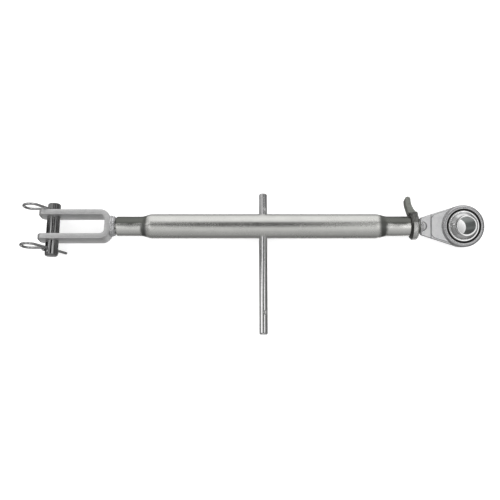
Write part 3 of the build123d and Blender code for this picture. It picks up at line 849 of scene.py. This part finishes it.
def eye_body():
    """The forging: eye, tapered web and the raised panel between them, with soft forged corners."""
    disc = lathe(rounded([(-EYE_HALF, 0, 0), (-EYE_HALF, EYE_RADIUS, 4.2), (EYE_HALF, EYE_RADIUS, 4.2),
                          (EYE_HALF, 0, 0)], 7), axis="Z", steps=128)
    eye = as_object(disc, "eye_body")
    plates = [tapered(WEB_START, 0, WEB_HALF, 4), tapered(PANEL_START, 5.5, PANEL_HALF, 4)]
    eye = combined(eye, plates, "UNION")
    eye = applied(eye, ("REMESH", {"mode": "VOXEL", "voxel_size": 0.5 * MM}),
                  ("SMOOTH", {"factor": 0.6, "iterations": 5}))
    seat = BALL + 0.3
    bore = lathe([(-20, 0), (-20, seat), (20, seat), (20, 0)], axis="Z", steps=128)
    recess = [lathe(rounded([(side * 4.8, 0, 0), (side * 4.8, RING_RADIUS, 0),
                             (side * (EYE_HALF - 0.9), RING_RADIUS, 0), (side * 20, RING_RADIUS + 9, 0),
                             (side * 20, 0, 0)]), axis="Z", steps=128) for side in (-1, 1)]
    tip = EYE_SCREW_HIGH.x
    wide = SHANK_RADIUS + 0.25
    socket = lathe([(SHANK_START - 8, 0), (SHANK_START - 8, wide), (tip - SHANK_RADIUS, wide),
                    (tip - 2.2, SHANK_RADIUS * 0.68), (tip + 0.25, 0)], steps=64)
    eye = combined(eye, [bore, *recess, socket], "DIFFERENCE")
    eye.data.transform(EYE_TURN)
    return finished(eye, "eye_end", ["eye_forging"], "blasted_forging")


def web_bead():
    start = WEB_START
    outline = [(start - 2.4, SCREW_RADIUS - 1.2), (start - 2.4, SCREW_RADIUS + 0.3), (start - 1.2, 11.7),
               (start + 0.6, 11.2), (start + 2.2, 9.6), (start + 2.2, SHANK_RADIUS - 0.6)]
    bead = rough_bead(outline, "web_weld_bead", 2.2, 1.1)
    return finished(bead, "eye_end", ["eye_weld"], "weld_bead", crease=60)


def ball_race(name, side, node_name):
    """A swaged ring with a rounded lip against the ball."""
    top = EYE_HALF + RING_PROUD
    low = 5.0
    seat = BALL + 0.12
    inner = [(z, math.sqrt(seat ** 2 - z ** 2)) for z in (low + (top - 0.5 - low) * s / 8 for s in range(9))]
    lip = rounded([(top, inner[-1][1] + 0.35, 0), (top, RING_RADIUS - 1.9, 0.7),
                   (top - 2.1, RING_RADIUS, 0.6), (low, RING_RADIUS, 0)])
    points = [(side * z, r) for z, r in inner + lip]
    shape = lathe(points, closed=True, axis="Z", steps=128)
    shape.transform(EYE_TURN)
    return finished(as_object(shape, name), "eye_end", [node_name], "bright_ring")


def bored_ball():
    """A ball with a turned collar on each side and a broad chamfer round each mouth of its bore."""
    join = math.sqrt(BALL ** 2 - COLLAR ** 2)
    angle = math.acos(join / BALL)
    arc = [(BALL * math.cos(turn), BALL * math.sin(turn))
           for turn in (math.pi - angle - (math.pi - 2 * angle) * step / 48 for step in range(49))]
    end = rounded([(join + 0.6, COLLAR, 0), (BALL_HALF, COLLAR, 0.25), (BALL_HALF, BORE + 0.4, 0.1),
                   (BALL_HALF - 0.4, BORE, 0)], 3)
    points = [(-along, radius) for along, radius in reversed(end)] + arc + end
    shape = lathe(points, closed=True, axis="Z", steps=128)
    shape.transform(EYE_TURN)
    return finished(as_object(shape, "bored_ball"), "ball", ["pivot_ball"], "bright_ball")


def jam_nut():
    start, end = NUT_LOW.x, NUT_HIGH.x
    low = NUT_RADIUS - NUT_CHAMFER
    points = rounded([(start, THREAD_BORE + 1.0, 0), (start, low, 0.5),
                      (start + NUT_CHAMFER, NUT_RADIUS, 0.6), (end - NUT_CHAMFER, NUT_RADIUS, 0.6),
                      (end, low, 0.5), (end, THREAD_BORE + 1.0, 0)], 4)
    points += [(end - 1, THREAD_BORE), (start + 1, THREAD_BORE)]
    nut = as_object(lathe(points, closed=True, steps=128), "jam_nut")
    return finished(nut, "lock_nut", ["lock_nut"], "dull_casting")


def lever():
    """The nut's cast lever: a curved horn that thickens into the ring."""
    tip_y, tip_radius = LEVER_TIP_Y, LEVER_TIP_RADIUS
    tip_x = NUT_LOW.x - LEVER_LEAN
    inner = [(tip_x, tip_y - tip_radius), (tip_x + 0.1, 36), (tip_x + 0.9, 31), (tip_x + 2.2, 26),
             (tip_x + 3.6, 21), (tip_x + 4.6, 17.4)]
    outer = [(tip_x + 15.5, 18.6), (tip_x + 14.8, 21.0), (tip_x + 11.9, 25), (tip_x + 9.4, 31),
             (tip_x + 8.4, 36), (tip_x + 2 * tip_radius, tip_y - tip_radius)]
    cap = [(tip_x + tip_radius + tip_radius * math.cos(a), tip_y - tip_radius + tip_radius * math.sin(a))
           for a in (math.pi * step / 10 for step in range(1, 10))]
    shape = bmesh.new()
    verts = [shape.verts.new((x * MM, y * MM, -LEVER_HALF * MM)) for x, y in inner + outer + cap]
    face = shape.faces.new(verts)
    made = bmesh.ops.extrude_face_region(shape, geom=[face])["geom"]
    top = [part for part in made if isinstance(part, bmesh.types.BMVert)]
    bmesh.ops.translate(shape, verts=top, vec=(0, 0, 2 * LEVER_HALF * MM))
    bmesh.ops.triangulate(shape, faces=shape.faces)
    horn = as_object(tidied(shape), "jam_lever")
    horn = applied(horn, ("REMESH", {"mode": "VOXEL", "voxel_size": 0.5 * MM}),
                   ("SMOOTH", {"factor": 0.6, "iterations": 9}))
    return finished(horn, "lock_nut", ["lock_lever"], "dull_casting")


def lever_bead():
    """The two lumpy beads that fix the lever to the nut, and the spatter beside the upper one."""
    start, end = NUT_LOW.x, NUT_HIGH.x
    shape = bmesh.new()

    def lump(radius, along, around, away):
        made = bmesh.ops.create_icosphere(shape, subdivisions=3, radius=radius * MM)["verts"]
        place = Vector((along, away * math.cos(around), away * math.sin(around)))
        bmesh.ops.translate(shape, verts=made, vec=place * MM)

    for side in (-1, 1):
        for step in range(BEAD_LUMPS):
            around = math.radians(25.5 + 1.5 * math.sin(step * 2.1)) * side
            lump(2.1, start + 2.4 + (end - start - 4.4) * step / (BEAD_LUMPS - 1), around, NUT_RADIUS + 0.1)
    for step in range(SPATTER_LUMPS):
        along = start + 0.8 + (end - start - 2.4) * (step * 0.381 % 1.0)
        around = math.radians(36 + 52 * (step * 0.618 % 1.0))
        lump(1.6 + 0.5 * math.sin(step * 5.3), along, around, NUT_RADIUS - 0.3)
    bead = applied(as_object(shape, "lever_weld_bead"),
                   ("REMESH", {"mode": "VOXEL", "voxel_size": 0.35 * MM}),
                   ("SMOOTH", {"factor": 0.5, "iterations": 3}))
    return finished(bead, "lock_nut", ["lever_weld"], "dull_casting", crease=60)


swaged_tube()
turning_bar()
jaw_screw()
eye_screw()
jaw()
jaw_bead()
clevis_pin()
hairpin("short_side_hairpin", SHORT_CLIP_LOW, "short_side_clip", "short_side_r_clip")
hairpin("long_side_hairpin", LONG_CLIP_LOW, "long_side_clip", "long_side_r_clip")
eye_body()
web_bead()
ball_race("upper_race", 1, "upper_ball_ring")
ball_race("lower_race", -1, "lower_ball_ring")
bored_ball()
jam_nut()
lever()
lever_bead()


# ---------------------------------------------------------------- floor, light and camera

def floor():
    """A plain pale floor that the link lies on."""
    shape = bmesh.new()
    bmesh.ops.create_grid(shape, x_segments=1, y_segments=1, size=3.0)
    made = as_object(shape, "floor")
    made.location.z = cad_box[0][2]
    material = bpy.data.materials.new("pale floor")
    material.use_nodes = True
    surface = material.node_tree.nodes["Principled BSDF"]
    surface.inputs["Base Color"].default_value = (0.8, 0.8, 0.8, 1)
    surface.inputs["Emission Color"].default_value = (1, 1, 1, 1)
    surface.inputs["Emission Strength"].default_value = 0.4
    surface.inputs["Roughness"].default_value = 0.9
    surface.inputs["Specular IOR Level"].default_value = 0.1
    made.data.materials.append(material)
    made.visible_glossy = False


def studio():
    """Plain white light all round, with soft strips and dark gaps that the metal reflects."""
    world = bpy.data.worlds.new("studio")
    bpy.context.scene.world = world
    world.use_nodes = True
    tree = world.node_tree
    tree.nodes.clear()
    towards = add(tree, "SeparateXYZ", {0: add(tree, "TexCoord").outputs["Generated"]}).outputs
    across = math_node(tree, "ARCTAN2", towards["Y"], towards["Z"])
    along = math_node(tree, "ARCTAN2", towards["X"], towards["Z"])
    part = [math_node(tree, "MULTIPLY_ADD", angle, 1 / FULL_TURN) for angle in (across, along)]
    for value in part:
        value.node.inputs[2].default_value = 0.5

    def at(degrees):
        return 0.5 + degrees / 360

    def grey(level):
        return (level, level, level, 1)

    bands = ramp(tree, part[0], [
        (at(-180), 0.9), (at(-172), 0.9), (at(-163), 0.2), (at(-125), 0.2), (at(-102), 0.34), (at(-72), 0.4),
        (at(-50), 0.55), (at(-36), 0.55), (at(-24), 0.36), (at(-14), 0.02), (at(14), 0.0), (at(22), 0.16),
        (at(33), 0.78), (at(50), 0.88), (at(92), 0.84), (at(115), 0.4), (at(145), 0.16), (at(180), 0.1)])
    upper_strips = ramp(tree, part[1], [
        (at(-120), 0.3), (at(-95), 0.45), (at(-59), 0.45), (at(-28), 0.6), (at(-8), 0.4), (at(4), 0.08),
        (at(33), 0.08), (at(46), 0.42), (at(54), 0.4), (at(66), 0.1), (at(87), 0.15), (at(110), 0.3),
        (at(140), 0.3)])
    middle_strips = ramp(tree, part[1], [
        (at(-130), 0.02), (at(-87), 0.03), (at(-61), 0.02), (at(-42), 0.06), (at(-31), 1.4), (at(-15), 1.5),
        (at(-3), 0.8), (at(8), 0.02), (at(36), 0.03), (at(45), 0.75), (at(55), 0.85), (at(65), 0.1),
        (at(91), 0.04), (at(117), 0.12), (at(150), 0.25)])
    near_strips = ramp(tree, part[1], [
        (at(-95), 0.1), (at(-72), 1.0), (at(-55), 1.4), (at(-42), 1.0), (at(-26), 0.5), (at(-8), 0.2),
        (at(6), 0.25), (at(18), 1.0), (at(30), 1.3), (at(42), 0.6), (at(56), 0.13), (at(95), 0.17)])
    strips = blend(tree, smooth_step(tree, towards["Y"], 0.302, 0.288), upper_strips, middle_strips)
    strips = blend(tree, smooth_step(tree, towards["Y"], 0.245, 0.225), strips, near_strips)
    beyond = ramp(tree, part[1], [(at(-17), 1.0), (at(-10), 0.0), (at(10), 0.0), (at(17), 1.0)])
    sideways = math_node(tree, "ABSOLUTE", towards["X"], 0.0)
    length = smooth_step(tree, sideways, 0.62, 0.36)
    stripe = math_node(tree, "MULTIPLY", smooth_step(tree, sideways, 0.25, 0.31),
                       band(tree, towards["Y"], 0.1, 0.42, 0.06))
    level = math_node(tree, "MULTIPLY", smooth_step(tree, towards["X"], -0.17, -0.2),
                      band(tree, towards["Y"], 0.12, 0.45, 0.08))
    bright = math_node(tree, "MULTIPLY", smooth_step(tree, towards["X"], 0.206, 0.222),
                       band(tree, towards["Y"], -0.45, 0.4, 0.08))
    bright = math_node(tree, "MULTIPLY", bright, smooth_step(tree, towards["X"], 0.31, 0.28))
    flat = ramp(tree, part[0], [(at(-42), 0.0), (at(-30), 1.0), (at(-6), 1.0), (at(0), 0.0)])
    below = ramp(tree, part[0], [(at(-174), 1.0), (at(-163), 0.0)])
    box = blend(tree, beyond, bands, grey(0.95))
    above = blend(tree, flat, bands, box)
    lit = blend(tree, length, blend(tree, 0.7, above, grey(0.18)), above)
    lit = blend(tree, level, lit, grey(0.6))
    lit = blend(tree, bright, lit, grey(1.2))
    lit = blend(tree, stripe, lit, strips)
    lit = blend(tree, below, lit, grey(0.8))
    glossy = add(tree, "LightPath").outputs["Is Glossy Ray"]
    colour = blend(tree, glossy, grey(1.5), lit)
    sky = add(tree, "Background", {"Color": colour, "Strength": 1.0})
    tree.links.new(sky.outputs[0], tree.nodes.new("ShaderNodeOutputWorld").inputs[0])


def camera():
    data = bpy.data.cameras.new("camera")
    data.lens = 55.55
    made = bpy.data.objects.new("camera", data)
    bpy.context.scene.collection.objects.link(made)
    aim = Vector((-0.3132, -0.0362, 0))
    tilt = math.radians(74.87)
    distance = 1.1305
    made.location = aim + distance * Vector((0, -math.cos(tilt), math.sin(tilt)))
    made.rotation_euler = (aim - made.location).to_track_quat("-Z", "Y").to_euler()
    bpy.context.scene.camera = made


floor()
studio()
camera()
bpy.context.scene.view_settings.view_transform = "Standard"
